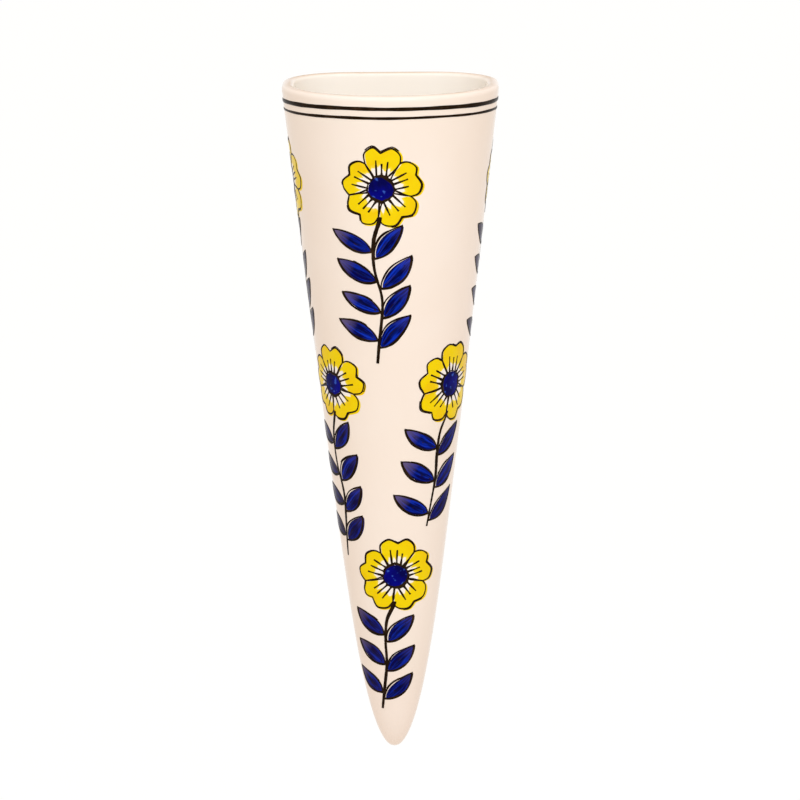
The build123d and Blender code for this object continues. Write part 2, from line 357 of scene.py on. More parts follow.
slot_centre_z = SHANK_RADIUS + SLOT_PLAY - SLOT_WIDTH / 2
keyhole = round_cutter(ENTRY_DIAMETER / 2, -SLOT_TRAVEL)
cut(keyhole, round_cutter(SLOT_WIDTH / 2, slot_centre_z), "UNION")
cut(keyhole, block_cutter(SLOT_WIDTH * BLOCK_SHARE, -SLOT_TRAVEL, slot_centre_z), "UNION")
cut(pot, keyhole)
print("pot with keyhole:", len(pot.data.vertices), "points")

# %% [markdown]
# ## Paint on paper, then wrap
# A painter's sprig is easy to draw flat and hard to draw on a cone. So each stroke is modelled on a flat
# sheet: x to the right, y up, z for how thick the paint stands. `wrap` then lays the sheet on the glaze
# round the place of its flower. The paint keeps its real thickness, about a tenth of a millimetre.

# %% Wrap a drawing on the pot
PROBE = 0.3 * MM


def pot_normal(turn, height):
    step = PROBE / half_width(height)
    right = pot_point(turn + step, height) - pot_point(turn - step, height)
    up = pot_point(turn, height + PROBE) - pot_point(turn, height - PROBE)
    return right.cross(up).normalized()


def climb(turn, height, up):
    """The height that lies so far up the glaze from another."""
    middle = height + up / 2
    rise = pot_point(turn, middle + PROBE) - pot_point(turn, middle - PROBE)
    return height + up * 2 * PROBE / rise.length


def wrap(piece, turn, height, size=1.0):
    """Lays a flat drawing on the pot, its origin at a turn and a height."""
    for vertex in piece.data.vertices:
        flat = vertex.co.copy()
        new_height = climb(turn, height, flat.y * size)
        new_turn = turn + flat.x * size / half_width(new_height)
        vertex.co = pot_point(new_turn, new_height) + pot_normal(new_turn, new_height) * flat.z
    piece.data.update()


# %% [markdown]
# ## Brush strokes
# A brush line of enamel is a bead, thicker in its middle. A curve with a round bevel gives just that: each
# point of the line carries its own radius, as the brush is pressed more or less. The lines of one flower, or
# of one sprig's leaves, are splines of one curve, which becomes a mesh and is pressed flat.

# %% Lines of paint
LINE_LIFT = 0.045 * MM
LINE_RELIEF_SHARE = 0.25
PRESS_SWELL = 0.2
PRESS_WAVE = 8
PRESS_SHAKE = 0.08
ANY_PHASE = (0, 6)


def smooth_path(points, steps):
    """A smooth line through points, with `steps` places between each two."""
    ends = [points[0]] + list(points) + [points[-1]]
    path = []
    for i in range(1, len(ends) - 2):
        before, start, end, after = ends[i - 1:i + 3]
        for step in range(steps):
            t = step / steps
            place = []
            for a, b, c, d in zip(before, start, end, after):
                bend = (2 * a - 5 * b + 4 * c - d) * t * t + (3 * b - a - 3 * c + d) * t ** 3
                place.append(0.5 * (2 * b + (c - a) * t + bend))
            path.append(tuple(place))
    path.append(tuple(points[-1]))
    return path


def with_width(path, hand, half, end_share=1.0, power=1.0):
    """Turns a path into a stroke whose width changes a little, as under a brush."""
    stroke = []
    phase = hand.uniform(*ANY_PHASE)
    for i, (x, y) in enumerate(path):
        share = i / (len(path) - 1)
        swell = PRESS_SWELL * math.sin(phase + share * PRESS_WAVE)
        press = 1 + swell + hand.uniform(-PRESS_SHAKE, PRESS_SHAKE)
        taper = 1 + (end_share - 1) * share ** power
        stroke.append((x, y, half * press * taper))
    return stroke


def brush_lines(name, strokes):
    """One mesh of paint lines. A stroke is a list of (x, y, half width)."""
    curve = bpy.data.curves.new(name, "CURVE")
    curve.dimensions = "3D"
    curve.bevel_depth = 1
    curve.bevel_resolution = 2
    curve.use_fill_caps = True
    for stroke in strokes:
        spline = curve.splines.new("POLY")
        spline.points.add(len(stroke) - 1)
        for point, (x, y, half) in zip(spline.points, stroke):
            point.co = (x, y, 0, 1)
            point.radius = half
    drawing = add_object(name, curve)
    select_only(drawing)
    bpy.ops.object.convert(target="MESH")
    drawing = bpy.context.object
    for vertex in drawing.data.vertices:
        vertex.co.z = LINE_LIFT + vertex.co.z * LINE_RELIEF_SHARE
    return drawing


# %% [markdown]
# ## Patches of paint
# Inside its lines the painter fills a shape with colour. A patch starts as a grid, whose own UV map tells its
# material how far across and along the shape a point is. Each point is then moved to its place in the shape,
# and Solidify gives the finished sheet its thickness, down into the glaze.

# %% Patches of paint
PATCH_RELIEF = 0.04 * MM
PATCH_DEPTH = 0.12 * MM


def brush_patch(name, grid, place, hand, wash=0.0, side_shade=0.0):
    """A filled patch of paint. `place` gives the flat point for a share across, to the right, and along."""
    columns, rows = grid
    clear_selection()
    bpy.ops.mesh.primitive_grid_add(x_subdivisions=columns, y_subdivisions=rows, size=1, calc_uvs=True)
    patch = bpy.context.object
    patch.name = name
    for vertex in patch.data.vertices:
        x, y = place(vertex.co.x + 0.5, vertex.co.y + 0.5)
        vertex.co = (x, y, PATCH_RELIEF)
    for attribute, value in (("hand", hand), ("wash", wash), ("side_shade", side_shade)):
        layer = patch.data.attributes.new(attribute, "FLOAT", "POINT")
        layer.data.foreach_set("value", [value] * len(patch.data.vertices))
    return patch


def thicken(piece):
    solidify = piece.modifiers.new("thickness", "SOLIDIFY")
    solidify.thickness = PATCH_DEPTH
    solidify.offset = -1
    apply_modifiers(piece)


# %% [markdown]
# ## The flower
# Each flower has five heart-shaped petals round a blue centre. The petals are not equal: the two beside the
# stem are wider. The cusps between petals are given as angles, and one half petal as shares of the flower's
# radius, so every flower follows one drawing. A seeded random number then moves each point a little, as a
# hand does.

# %% The outline of a petal
FLOWER_RADIUS = 13.7 * MM
CENTRE_SHARE = 0.35
CENTRE_RADIUS = FLOWER_RADIUS * CENTRE_SHARE
CUSPS = ((54, 0.86), (121, 0.79), (192, 0.88), (264, 0.78), (345, 0.8), (414, 0.86))
PETAL_SIZES = (1.06, 0.99, 0.98, 0.99, 1.03)
LOBE_SHARES = ((0.84, 0.95), (0.62, 1.03), (0.34, 1.06))
LOBE_SHAKE = (0.975, 1.025)
LOBE_STEPS = 5
NOTCH_SHARE = 0.94
NOTCH_SHAKE = (0.97, 1.02)
NOTCH_TURN = 3


def around(radius, degrees):
    return radius * math.cos(math.radians(degrees)), radius * math.sin(math.radians(degrees))


def between(path, share):
    """The point at a share of the way along a path."""
    spot = share * (len(path) - 1)
    i = min(int(spot), len(path) - 2)
    return tuple(a + (b - a) * (spot - i) for a, b in zip(path[i], path[i + 1]))


def lobe_points(hand, size, axis, cusp_angle, cusp_share):
    """One lobe of a petal, from its cusp to just before the notch."""
    size *= hand.uniform(*LOBE_SHAKE)
    points = [around(FLOWER_RADIUS * cusp_share, cusp_angle)]
    for spread, reach in LOBE_SHARES:
        points.append(around(FLOWER_RADIUS * reach * size, axis + (cusp_angle - axis) * spread))
    return points


def petal_edge(hand, size, start, end):
    """The outer edge of a petal: two lobes that meet in a notch."""
    axis = (start[0] + end[0]) / 2
    radius = FLOWER_RADIUS * NOTCH_SHARE * size * hand.uniform(*NOTCH_SHAKE)
    notch = around(radius, axis + hand.uniform(-NOTCH_TURN, NOTCH_TURN))
    first = smooth_path(lobe_points(hand, size, axis, *start) + [notch], LOBE_STEPS)
    second = smooth_path(lobe_points(hand, size, axis, *end) + [notch], LOBE_STEPS)
    return first + second[-2::-1]


# %% [markdown]
# ## The yellow of a petal
# The painter stops the yellow short of the centre, with a ragged border, and lays it slightly off its
# outline. One grid covers the whole petal: its first share is the white root, and the rest is yellow.

# %% Lay the yellow
YELLOW_SHIFT = 0.95 * MM
SHIFT_RIGHT = (0.5, 1)
SHIFT_DOWN = (0.2, 0.6)
YELLOW_SPREAD = 1.03
YELLOW_START = 0.3
YELLOW_START_SHARE = 0.54
YELLOW_REACH = (0.95, 1.12)
YELLOW_RAGS = 12
YELLOW_RAG = (0.82, 1.2)
PETAL_MARGIN = 0.04
PETAL_ROOT = 0.95
PETAL_GRID = (36, 16)


def petal_place(hand, edge, start, end, shift):
    """Returns a function that places a point of the petal's grid."""
    reach = hand.uniform(*YELLOW_REACH)
    ragged = [(reach * hand.uniform(*YELLOW_RAG),) for _ in range(YELLOW_RAGS)]

    def place(across, along):
        direction = end[0] + (start[0] - end[0]) * (PETAL_MARGIN + (1 - 2 * PETAL_MARGIN) * across)
        root = around(CENTRE_RADIUS * PETAL_ROOT, direction)
        inner = around(FLOWER_RADIUS * YELLOW_START_SHARE * between(ragged, across)[0], direction)
        if along < YELLOW_START:
            return between((root, inner), along / YELLOW_START)
        rim = [YELLOW_SPREAD * part + off for part, off in zip(between(edge, 1 - across), shift)]
        return between((inner, rim), (along - YELLOW_START) / (1 - YELLOW_START))

    return place


# %% [markdown]
# ## The lines of a petal
# The outline is one stroke, with a line down each side to the centre. Three veins start thick at the centre
# and end inside the petal. On most petals the brush went twice over a piece of the outline, which leaves a
# second, thinner line just outside it.

# %% Draw the lines of a petal
OUTLINE_HALF = 0.34 * MM
SIDE_SPREADS = (0.04, 0.14, 0.26)
SIDE_MIDDLE_REACH = 0.6
SIDE_MIDDLE_SPREAD = 0.03
SIDE_STEPS = 4
SIDE_END = 0.75
VEIN_HALF = 0.31 * MM
VEIN_REACH = (0.68, 0.8)
VEIN_TURN = 2
VEIN_ROOT = 0.97
VEIN_ROOT_SHARE = 0.6
VEIN_TIP_SHARE = 0.4
VEIN_ROOT_PRESS = 0.9
VEIN_STEPS = 9
SECOND_CHANCE = 0.75
SECOND_START = (0.05, 0.3)
SECOND_LENGTH = (0.3, 0.6)
SECOND_AWAY = (1.02, 1.045)
SECOND_STEPS = 12
SECOND_HALF = 0.2 * MM


def side_line(hand, axis, cusp_angle, cusp_share):
    spread = hand.choice(SIDE_SPREADS)
    root = around(CENTRE_RADIUS, cusp_angle + (axis - cusp_angle) * spread)
    cusp = around(FLOWER_RADIUS * cusp_share, cusp_angle)
    middle_angle = cusp_angle + (axis - cusp_angle) * SIDE_MIDDLE_SPREAD
    middle = around(FLOWER_RADIUS * SIDE_MIDDLE_REACH, middle_angle)
    path = smooth_path([root, middle, cusp], SIDE_STEPS)
    return with_width(path, hand, OUTLINE_HALF, SIDE_END)


def vein_line(hand, axis, turn):
    reach = hand.uniform(*VEIN_REACH)
    root_turn = turn * VEIN_ROOT_SHARE + hand.uniform(-VEIN_TURN, VEIN_TURN)
    root = around(CENTRE_RADIUS * VEIN_ROOT, axis + root_turn)
    tip_turn = turn * VEIN_TIP_SHARE + hand.uniform(-VEIN_TURN, VEIN_TURN)
    tip = around(FLOWER_RADIUS * reach, axis + tip_turn)
    vein = []
    stroke = with_width(smooth_path([root, tip], VEIN_STEPS), hand, VEIN_HALF)
    for i, (x, y, half) in enumerate(stroke):
        vein.append((x, y, half * (1 + VEIN_ROOT_PRESS * (1 - i / VEIN_STEPS) ** 4)))
    return vein


def second_line(hand, edge):
    low = hand.uniform(*SECOND_START)
    high = low + hand.uniform(*SECOND_LENGTH)
    away = hand.uniform(*SECOND_AWAY)
    path = []
    for step in range(SECOND_STEPS + 1):
        x, y = between(edge, low + (high - low) * step / SECOND_STEPS)
        path.append((x * away, y * away))
    return with_width(path, hand, SECOND_HALF)


def draw_petal(hand, size, start, end, shift):
    """Returns one petal's patch of yellow and its lines."""
    edge = petal_edge(hand, size, start, end)
    axis = (start[0] + end[0]) / 2
    place = petal_place(hand, edge, start, end, shift)
    lines = [with_width(edge, hand, OUTLINE_HALF)]
    for cusp in (start, end):
        lines.append(side_line(hand, axis, *cusp))
    for spread in (-1, 0, 1):
        lines.append(vein_line(hand, axis, (end[0] - axis) * spread))
    if hand.random() < SECOND_CHANCE:
        lines.append(second_line(hand, edge))
    return brush_patch("petal", PETAL_GRID, place, hand.random()), lines


# %% [markdown]
# ## The centre, and the whole flower
# The centre is a dab of blue with a ragged edge, and round it goes a dark rim, now thick, now thin. A square
# grid is rounded to a disc, so that no point of it has a bundle of thin triangles.

# %% Draw a flower
CENTRE_GRID = (20, 20)
CENTRE_RAGS = 14
CENTRE_RAG = (0.92, 1.06)
RIM_HALF = 0.42 * MM
RIM_STEPS = 34
RIM_SHAKE = (0.96, 1.04)
RIM_SWELL = 0.45


def draw_centre(hand):
    """Returns the centre's patch of blue and its rim."""
    ragged = [(hand.uniform(*CENTRE_RAG),) for _ in range(CENTRE_RAGS)]
    ragged[-1] = ragged[0]

    def disc(across, along):
        a, b = 2 * across - 1, 2 * along - 1
        x, y = a * math.sqrt(1 - b * b / 2), b * math.sqrt(1 - a * a / 2)
        radius = CENTRE_RADIUS * between(ragged, math.atan2(y, x) / (2 * math.pi) % 1)[0]
        return x * radius, y * radius

    centre = brush_patch("centre", CENTRE_GRID, disc, hand.random())
    ring = []
    for i in range(RIM_STEPS):
        share = CENTRE_SHARE * between(ragged, i / RIM_STEPS)[0] * hand.uniform(*RIM_SHAKE)
        ring.append(around(FLOWER_RADIUS * share, 360 * i / RIM_STEPS))
    ring.append(ring[0])
    phase = hand.uniform(*ANY_PHASE)
    rim = []
    for i, (x, y, half) in enumerate(with_width(ring, hand, RIM_HALF)):
        rim.append((x, y, half * (1 + RIM_SWELL * math.sin(phase + 4 * math.pi * i / RIM_STEPS))))
    return centre, rim


def draw_flower(hand):
    """Returns the petals, the centre and the lines of one flower, drawn flat."""
    right = YELLOW_SHIFT * hand.uniform(*SHIFT_RIGHT)
    down = YELLOW_SHIFT * hand.uniform(*SHIFT_DOWN)
    petals = []
    lines = []
    for size, start, end in zip(PETAL_SIZES, CUSPS, CUSPS[1:]):
        petal, petal_lines = draw_petal(hand, size, start, end, (right, -down))
        petals.append(petal)
        lines += petal_lines
    centre, rim = draw_centre(hand)
    return petals, centre, brush_lines("flower_lines", lines + [rim])


# %% [markdown]
# ## The stem
# The stem is one long stroke that starts at the flower with a full brush and ends thin. It bows to the left
# and swings back. Where a sprig leans, its stem and leaves turn about the start of that bow.

# %% Draw a stem
STEM_START = 10.4 * MM
STEM_LEFT = 0.5 * MM
STEM_LEAN_START = 12.4 * MM
STEM_TAIL = 5.6 * MM
STEM_BOW = 3.3 * MM
STEM_BOW_PLACE = 0.24
STEM_LINE = (
    (0, 0.3), (0.12, 0.88), (STEM_BOW_PLACE, 1), (0.36, 0.8), (0.5, 0.2),
    (0.6, 0.08), (0.72, 0.25), (0.86, 0.52), (1, 0.73),
)
STEM_HALF = 0.64 * MM
STEM_END_SHARE = 0.7
STEM_STEPS = 8
FIRST_LEAF = 24.0 * MM
LEAF_SPACING = 12.0 * MM
RIGHT_LEAF_DROP = 2.7 * MM


def leaf_drop(sprig, pair):
    """How far below the flower's middle a left leaf leaves the stem."""
    return FIRST_LEAF * sprig["drop"] + LEAF_SPACING * sprig["spacing"] * pair


def stem_end(sprig):
    return leaf_drop(sprig, sprig["pairs"] - 1) + RIGHT_LEAF_DROP + STEM_TAIL * sprig["tail"]


def stem_line(sprig):
    """One sprig's stem as shares along it and places across it. It swings back by its own share."""
    line = []
    for along, bow in STEM_LINE:
        if along > STEM_BOW_PLACE:
            bow = 1 - (1 - bow) * sprig["swing"]
        line.append((along, -STEM_BOW * bow))
    return line


def stem_x(drop, sprig):
    line = stem_line(sprig)
    share = (drop - STEM_LEAN_START) / (stem_end(sprig) - STEM_LEAN_START)
    for (low, low_x), (high, high_x) in zip(line, line[1:]):
        if low <= share <= high:
            return low_x + (high_x - low_x) * (share - low) / (high - low)
    return line[-1][1]


def leaned(x, y, sprig):
    """A point of a stem or leaf once the sprig leans to the left about the start of its stem."""
    cos, sin = around(1, -sprig["lean"])
    y += STEM_LEAN_START
    return x * cos - y * sin, x * sin + y * cos - STEM_LEAN_START


def draw_stem(sprig, hand):
    points = [(-STEM_LEFT, -STEM_START)]
    length = stem_end(sprig) - STEM_LEAN_START
    points += [leaned(x, -STEM_LEAN_START - length * along, sprig) for along, x in stem_line(sprig)]
    path = smooth_path(points, STEM_STEPS)
    return brush_lines("stem", [with_width(path, hand, STEM_HALF, STEM_END_SHARE, power=2)])


# %% [markdown]
# ## The leaves
# Leaves sit on the stem in pairs, the left ones low and flat, the right ones steep. Each is an almond of blue
# that spills a little over one side of its outline. The outline is two strokes, one over the top and a
# thicker one back below, and a short rib runs inside.

# %% Draw a leaf
LEAVES = {
    "left": {"length": 16.0, "width": 5.8, "angle": 154, "wash": 1.0, "spill": (0.15, 0.35)},
    "right": {"length": 15.6, "width": 6.2, "angle": 49, "wash": 0.2, "spill": (0.6, -0.15)},
}
LENGTH_SHAKE = (0.96, 1.04)
WIDTH_SHAKE = (0.94, 1.07)
LEAF_TURN = 2
LEAF_BEND = (-0.03, 0.04)
LEAF_MARGIN = 0.01
LEAF_GRID = (10, 20)
LEAF_BELLY = 0.88
LEAF_FULLNESS = 0.76
SPILL_SHAKE = (0.5, 1.2)
WASH_SHAKE = (0.5, 1)
EDGE_WAVE = 0.05
EDGE_WAVES = 7
EDGE_STEPS = 18
OVER_HALF = 0.3 * MM
OVER_ENDS = (-0.01, 1.03)
UNDER_HALF = 0.45 * MM
UNDER_ENDS = (1.0, -0.02)
RIB_HALF = 0.2 * MM
RIB_START = 0.1
RIB_MIDDLE = (0.35, 0.45)
RIB_BOW = 0.08
RIB_END = (0.6, 0.78)
RIB_END_WIDTH = 0.4
DOUBLE_CHANCE = 0.5
DOUBLE_START = (0.2, 0.4)
DOUBLE_LENGTH = 0.45
DOUBLE_AWAY = 1.13
DOUBLE_WIDTH = 0.55


def leaf_half_width(along):
    """A leaf's width along its length, as a share of its widest, which lies a little nearer the stem."""
    along = min(max(along, 0), 1)
    return math.sin(math.pi * along ** LEAF_BELLY) ** LEAF_FULLNESS


def draw_leaf(side, base, sprig, hand):
    """Returns a leaf's patch of blue and its lines."""
    kind = LEAVES[side]
    length = kind["length"] * MM * sprig["leaf"] * hand.uniform(*LENGTH_SHAKE)
    half = kind["width"] * MM / 2 * hand.uniform(*WIDTH_SHAKE)
    angle = kind["angle"] - sprig["lean"] + hand.uniform(-LEAF_TURN, LEAF_TURN)
    if side == "left":
        angle -= sprig["lift"]
    ax, ay = around(1, angle)
    bend = hand.uniform(*LEAF_BEND)
    off_x, off_y = (part * MM * hand.uniform(*SPILL_SHAKE) for part in kind["spill"])
    waves = [hand.uniform(*ANY_PHASE) for _ in range(2)]

    def spot(along, across):
        aside = half * leaf_half_width(along) * across + length * bend * math.sin(math.pi * along)
        return base[0] + ax * along * length - ay * aside, base[1] + ay * along * length + ax * aside

    def place(across, along):
        x, y = spot(LEAF_MARGIN + (1 - 2 * LEAF_MARGIN) * along, 1 - 2 * across)
        return x + off_x, y + off_y

    def edge(sign, low, high, away=1.0):
        path = []
        for step in range(EDGE_STEPS + 1):
            along = low + (high - low) * step / EDGE_STEPS
            wave = 1 + EDGE_WAVE * math.sin(waves[sign > 0] + along * EDGE_WAVES)
            path.append(spot(along, sign * away * wave))
        return path

    over = -1 if side == "left" else 1
    rib_end = spot(hand.uniform(*RIB_END), 0)
    lines = [
        with_width(edge(over, *OVER_ENDS), hand, OVER_HALF),
        with_width(edge(-over, *UNDER_ENDS), hand, UNDER_HALF),
    ]
    rib = [spot(RIB_START, 0), spot(hand.uniform(*RIB_MIDDLE), RIB_BOW), rib_end]
    lines.append(with_width(rib, hand, RIB_HALF, RIB_END_WIDTH))
    if hand.random() < DOUBLE_CHANCE:
        low = hand.uniform(*DOUBLE_START)
        path = edge(over, low, low + DOUBLE_LENGTH, DOUBLE_AWAY)
        lines.append(with_width(path, hand, OVER_HALF * DOUBLE_WIDTH))
    wash = kind["wash"] * hand.uniform(*WASH_SHAKE)
    # The last number is the leaf's painted shade, which darkens leaves towards the sides of the pot.
    return brush_patch("leaf", LEAF_GRID, place, hand.random(), wash, sprig[side]), lines


# %% Draw a sprig's leaves
LEAF_GAP = 0.85 * MM
LEAF_SLIP = 0.35


def draw_leaves(sprig, hand):
    leaves = []
    lines = []
    for pair in range(sprig["pairs"]):
        for side, kind in LEAVES.items():
            drop = leaf_drop(sprig, pair) + hand.uniform(-LEAF_SLIP, LEAF_SLIP) * MM
            if side == "right":
                drop += RIGHT_LEAF_DROP
            x, y = around(LEAF_GAP, kind["angle"])
            base = leaned(stem_x(drop, sprig) + x, y - drop, sprig)
            leaf, leaf_lines = draw_leaf(side, base, sprig, hand)
            leaves.append(leaf)
            lines += leaf_lines
    return leaves, brush_lines("leaf_lines", lines)


# %% [markdown]
# ## Six sprigs
# The painter fills the round front with six sprigs in three rows, and squeezes or stretches each to its
# space. A table gives each its place, its pairs of leaves, its own shares of the common sizes and of the
# stem's swing, and how far it leans left and its left leaves lift, in degrees. Last come the sizes of the
# flower and leaves, and how much painted shade darkens the left and right leaves, most towards the sides of
# the pot. The pieces of one kind are then joined, because they share one material and one node of the
# imported model.

# %% Paint all the sprigs
UPPER_ROW = 218.8 * MM
MIDDLE_ROW = 144.9 * MM
LOWER_ROW = 72.3 * MM
PLACE_KEYS = ("turn", "row", "pairs", "drop", "spacing", "tail", "swing", "lean", "lift")
HAND_KEYS = ("flower", "leaf", "left", "right")
SPRIGS = (
    # The last two numbers of a row are painted shade on its left and right leaves, most towards the pot's
    # sides.
    (-1.56, UPPER_ROW, 4, 0.98, 0.92, 1, 1, 0, 0, 1, 0.95, 1, 1),
    (-0.097, UPPER_ROW, 4, 1, 0.93, 1, 1, 0, 0, 0.99, 1, 0.05, 0),
    (1.75, UPPER_ROW, 4, 0.97, 1, 1, 1, 0, 0, 1, 1, 1, 1),
    (-0.93, MIDDLE_ROW, 4, 0.97, 1, 1, 1, 0, 0, 0.95, 0.88, 0.9, 0.3),
    (0.91, MIDDLE_ROW, 3, 1.04, 1.06, 0.35, 0.35, 3.5, 0, 1.03, 1, 0.05, 0.4),
    (0.05, LOWER_ROW, 3, 1.04, 1.05, 0.75, 0.35, 2.5, 11, 1, 0.94, 0.4, 0.1),
)
FIRST_SEED = 40
KINDS = ("petals", "centres", "flower_lines", "stems", "leaves", "leaf_lines")
FLOWER_KINDS = KINDS[:3]
paint = {kind: [] for kind in KINDS}
for number, row in enumerate(SPRIGS):
    sprig = dict(zip(PLACE_KEYS + HAND_KEYS, row))
    hand = random.Random(FIRST_SEED + number)
    petals, centre, flower_lines = draw_flower(hand)
    leaves, leaf_lines = draw_leaves(sprig, hand)
    stem = draw_stem(sprig, hand)
    drawn = (petals, [centre], [flower_lines], [stem], leaves, [leaf_lines])
    for kind, pieces in zip(KINDS, drawn):
        size = sprig["flower"] if kind in FLOWER_KINDS else 1.0
        for piece in pieces:
            wrap(piece, sprig["turn"], sprig["row"], size)
        paint[kind] += pieces
paint = {kind: join(pieces, "painted_" + kind) for kind, pieces in paint.items()}
for kind in ("petals", "centres", "leaves"):
    thicken(paint[kind])
for piece in paint.values():
    print(piece.name, len(piece.data.vertices), "points")

# %% [markdown]
# ## The two bands
# The painter holds a brush still and turns the vase, so a band is one long line that wavers a little and has
# small changes of width. It stops just before the round corner meets the flat back.

# %% Paint the bands
BANDS = {
    "upper_band": {"drop": 5.6 * MM, "half": 0.72 * MM, "seed": 5},
    "lower_band": {"drop": 8.8 * MM, "half": 0.5 * MM, "seed": 6},
}
BAND_END = 0.985
BAND_STEPS = 240
SLOW_LIFT = 0.12 * MM
QUICK_LIFT = 0.05 * MM
SLOW_PRESS = 0.1
QUICK_PRESS = 0.06
WAVE_PACES = (2.1, 7, 3, 17)


def paint_band(name, drop, half, seed):
    hand = random.Random(seed)
    height = RIM_HEIGHT - drop
    width = half_width(height)
    phases = [hand.uniform(*ANY_PHASE) for _ in WAVE_PACES]
    stroke = []
    for i in range(BAND_STEPS + 1):
        turn = TURN_FLAT * BAND_END * (2 * i / BAND_STEPS - 1)
        waves = [math.sin(phase + turn * pace) for phase, pace in zip(phases, WAVE_PACES)]
        lift = SLOW_LIFT * waves[0] + QUICK_LIFT * waves[1]
        press = 1 + SLOW_PRESS * waves[2] + QUICK_PRESS * waves[3]
        stroke.append((turn * width, lift, half * press))
    band = brush_lines(name, [stroke])
    wrap(band, 0, height)
    rename(band, "painted_" + name)
    return band


bands = {name: paint_band(name, **band) for name, band in BANDS.items()}
for band in bands.values():
    print(band.name, len(band.data.vertices), "points")

# %% [markdown]
# ## Materials
# Every finish is made of nodes, and colours are written as they look in daylight. A small class keeps the
# node trees short to write: its methods add nodes and return the output that the next one reads.

# %% Node helpers
def linear(red, green, blue):
    """A colour as a screen shows it, 0 to 255, turned into the numbers that light works with."""
    parts = []
    for value in (red, green, blue):
        share = value / 255
        parts.append(share / 12.92 if share <= 0.04045 else ((share + 0.055) / 1.055) ** 2.4)
    return (*parts, 1.0)


class Nodes:
    """A short way to write the nodes of a material or of the world."""

    def __init__(self, owner):
        owner.use_nodes = True
        self.owner = owner
        self.tree = owner.node_tree

    def feed(self, node, socket, value):
        """Links an output to a socket, or writes a plain value on it."""
        if isinstance(value, bpy.types.NodeSocket):
            self.tree.links.new(value, node.inputs[socket])
        else:
            node.inputs[socket].default_value = value

    def add(self, kind, inputs=None, **settings):
        node = self.tree.nodes.new("ShaderNode" + kind)
        for setting, value in settings.items():
            setattr(node, setting, value)
        for socket, value in (inputs or {}).items():
            self.feed(node, socket, value)
        return node

    def ramp(self, value, low, high, start=0.0, end=1.0):
        inputs = {"Value": value, "From Min": low, "From Max": high, "To Min": start, "To Max": end}
        return self.add("MapRange", inputs).outputs["Result"]

    def mix(self, factor, first, second):
        return self.add("Mix", {0: factor, 6: first, 7: second}, data_type="RGBA").outputs[2]

    def math(self, operation, first, second=0.5):
        return self.add("Math", {0: first, 1: second}, operation=operation).outputs[0]

    def times(self, first, second):
        return self.math("MULTIPLY", first, second)

    def coords(self):
        return self.add("TexCoord").outputs["Object"]

    def noise(self, scale, detail=2.0, vector=None, seed=0.0):
        place = (seed, seed * 0.7, seed * 1.3)
        mapping = self.add("Mapping", {"Vector": vector or self.coords(), "Location": place})
        inputs = {"Vector": mapping.outputs[0], "Scale": scale, "Detail": detail}
        return self.add("TexNoise", inputs).outputs["Fac"]

    def attribute(self, name):
        return self.add("Attribute", attribute_name=name).outputs["Fac"]

    def patch_share(self, axis):
        """How far across (X) or along (Y) its patch a point of paint is."""
        uv = self.add("UVMap").outputs["UV"]
        return self.add("SeparateXYZ", {"Vector": uv}).outputs[axis]

    def bump(self, height, strength, distance, normal=None):
        inputs = {"Height": height, "Strength": strength, "Distance": distance}
        if normal:
            inputs["Normal"] = normal
        return self.add("Bump", inputs).outputs["Normal"]

    def set(self, **values):
        """Sets the shader's sockets. An underscore stands for a space."""
        for socket, value in values.items():
            self.feed(self.tree.nodes["Principled BSDF"], socket.replace("_", " "), value)


def new_finish(name):
    return Nodes(bpy.data.materials.new(name))


# %% [markdown]
# ## The glaze
# The glaze is a slightly mottled cream with a soft orange-peel surface and a few specks. It thins to a warm
# tone on the crest of the lip. Inside the pot it is painted lighter: painted light where the walls shade it.

# %% Make the glaze
CREAM = linear(252, 239, 229)
CREAM_MOTTLE = linear(250, 235, 223)
CREAM_BLUSH = linear(253, 237, 229)
# Painted light: a lighter cream for the inside of the pot, where its own walls shade it.
CREAM_INSIDE_PAINTED_LIGHT = linear(255, 248, 239)
CREST_TAN = linear(198, 160, 114)
SPECK_BROWN = linear(150, 120, 95)


def glaze_material():
    m = new_finish("cream_glaze")
    mottle = m.ramp(m.noise(22, 3), 0.35, 0.65)
    colour = m.mix(mottle, CREAM, CREAM_MOTTLE)
    blush = m.ramp(m.noise(9, 1, seed=3), 0.45, 0.7, 0, 0.5)
    colour = m.mix(blush, colour, CREAM_BLUSH)
    # Painted light: the inside of the pot is coloured lighter, where its walls shade it.
    colour = m.mix(m.attribute("inside"), colour, CREAM_INSIDE_PAINTED_LIGHT)
    uneven = m.ramp(m.noise(60, 2, seed=5), 0.35, 0.7, 0.6, 1)
    colour = m.mix(m.times(m.attribute("crest"), uneven), colour, CREST_TAN)
    dots = m.add("TexVoronoi", {"Vector": m.coords(), "Scale": 170.0}).outputs["Distance"]
    rare = m.ramp(m.noise(37, 0, seed=8), 0.66, 0.68)
    speck = m.times(m.ramp(dots, 0.02, 0.045, 1, 0), rare)
    colour = m.mix(m.times(speck, 0.55), colour, SPECK_BROWN)
    swell = m.bump(m.noise(28, 1, seed=4), 0.35, 0.3 * MM)
    peel = m.bump(m.noise(650, 2, seed=6), 0.12, 0.03 * MM, swell)
    gloss = m.ramp(m.noise(40, 2, seed=2), 0.3, 0.7, 0.1, 0.17)
    m.set(Base_Color=colour, Roughness=gloss, Normal=peel, IOR=1.5, Specular_IOR_Level=0.2)
    return m.owner


pot.data.materials.append(glaze_material())

# %% [markdown]
# ## Yellow enamel
# The yellow is flooded into each petal from its edge, so it thins before it reaches the centre and leaves
# the root white. The patch's own UV map says how far along the petal a point is, and a fine grain moves that
# border a little.

# %% Make the yellow
YELLOW = linear(247, 216, 2)
YELLOW_ORANGE = linear(245, 200, 6)
YELLOW_THIN = linear(252, 234, 90)
THIN_LENGTH = 0.14
YELLOW_BORDER = 0.02
ROOT_WHITE = linear(254, 246, 240)


